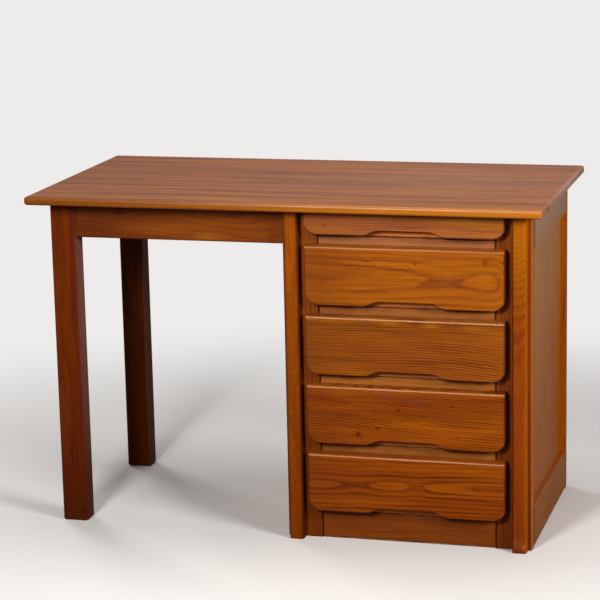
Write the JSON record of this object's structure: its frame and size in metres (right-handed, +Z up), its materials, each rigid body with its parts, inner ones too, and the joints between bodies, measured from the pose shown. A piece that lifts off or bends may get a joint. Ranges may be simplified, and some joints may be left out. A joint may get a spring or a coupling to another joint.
{
  "type": "writing desk",
  "caption": "Free-standing wooden desk with square left legs, a right pedestal of sliding drawers with cut-out pulls, and an overhanging rounded top.",
  "frame": {"origin": "on the floor, under the centre of the desk top", "axes": "+X to the sitter's right, towards the pedestal, +Y to the back, +Z up; the drawers open along -Y"},
  "size_m": [1.115, 0.582, 0.74],
  "materials": {
    "elm_top": "varnished elm, grain along the length",
    "elm_front": "varnished elm, grain along the length",
    "elm_upright": "varnished elm, grain upright",
    "elm_lengthwise": "varnished elm, grain along the length",
    "elm_crosswise": "varnished elm, grain from front to back",
    "drawer_box_wood": "bare light wood, planed",
    "bare_wood": "bare wood, planed",
    "panel_board": "thin board, smooth",
    "screw_steel": "plain steel"
  },
  "bodies": {
    "frame": {"desk_top": "elm_top", "front_left_leg": "elm_upright", "back_left_leg": "elm_upright", "front_apron": "elm_lengthwise", "back_apron": "elm_lengthwise", "left_side_apron": "elm_crosswise", "top_buttons": "bare_wood", "right_front_stile": "elm_upright", "left_front_stile": "elm_upright", "right_back_stile": "elm_upright", "left_back_stile": "elm_upright", "right_side_top_rail": "elm_crosswise", "left_side_top_rail": "elm_crosswise", "right_side_bottom_rail": "elm_crosswise", "left_side_bottom_rail": "elm_crosswise", "right_side_panel": "elm_upright", "left_side_panel": "elm_upright", "right_pilaster": "elm_upright", "left_pilaster": "elm_upright", "front_top_rail": "elm_lengthwise", "plinth_board": "elm_lengthwise", "back_top_rail": "elm_lengthwise", "back_bottom_rail": "elm_lengthwise", "back_panel": "panel_board", "drawer_runners": "bare_wood", "drawer_rail_1": "elm_lengthwise", "drawer_rail_2": "elm_lengthwise", "drawer_rail_3": "elm_lengthwise", "drawer_rail_4": "elm_lengthwise"},
    "drawer_1": {"drawer_1_front": "elm_front", "drawer_1_box_front": "drawer_box_wood", "drawer_1_left_side": "drawer_box_wood", "drawer_1_right_side": "drawer_box_wood", "drawer_1_box_back": "drawer_box_wood", "drawer_1_bottom": "panel_board"},
    "drawer_2": {"drawer_2_front": "elm_front", "drawer_2_box_front": "drawer_box_wood", "drawer_2_left_side": "drawer_box_wood", "drawer_2_right_side": "drawer_box_wood", "drawer_2_box_back": "drawer_box_wood", "drawer_2_bottom": "panel_board"},
    "drawer_3": {"drawer_3_front": "elm_front", "drawer_3_box_front": "drawer_box_wood", "drawer_3_left_side": "drawer_box_wood", "drawer_3_right_side": "drawer_box_wood", "drawer_3_box_back": "drawer_box_wood", "drawer_3_bottom": "panel_board"},
    "drawer_4": {"drawer_4_front": "elm_front", "drawer_4_box_front": "drawer_box_wood", "drawer_4_left_side": "drawer_box_wood", "drawer_4_right_side": "drawer_box_wood", "drawer_4_box_back": "drawer_box_wood", "drawer_4_bottom": "panel_board"},
    "drawer_5": {"drawer_5_front": "elm_front", "drawer_5_box_front": "drawer_box_wood", "drawer_5_left_side": "drawer_box_wood", "drawer_5_right_side": "drawer_box_wood", "drawer_5_box_back": "drawer_box_wood", "drawer_5_bottom": "panel_board"}
  },
  "joints": [
    {"name": "drawer_1_slide", "type": "slide", "parent": "frame", "child": "drawer_1", "axis": [0, -1, 0], "range_m": [0, 0.35]},
    {"name": "drawer_2_slide", "type": "slide", "parent": "frame", "child": "drawer_2", "axis": [0, -1, 0], "range_m": [0, 0.35]},
    {"name": "drawer_3_slide", "type": "slide", "parent": "frame", "child": "drawer_3", "axis": [0, -1, 0], "range_m": [0, 0.35]},
    {"name": "drawer_4_slide", "type": "slide", "parent": "frame", "child": "drawer_4", "axis": [0, -1, 0], "range_m": [0, 0.35]},
    {"name": "drawer_5_slide", "type": "slide", "parent": "frame", "child": "drawer_5", "axis": [0, -1, 0], "range_m": [0, 0.35]}
  ]
}
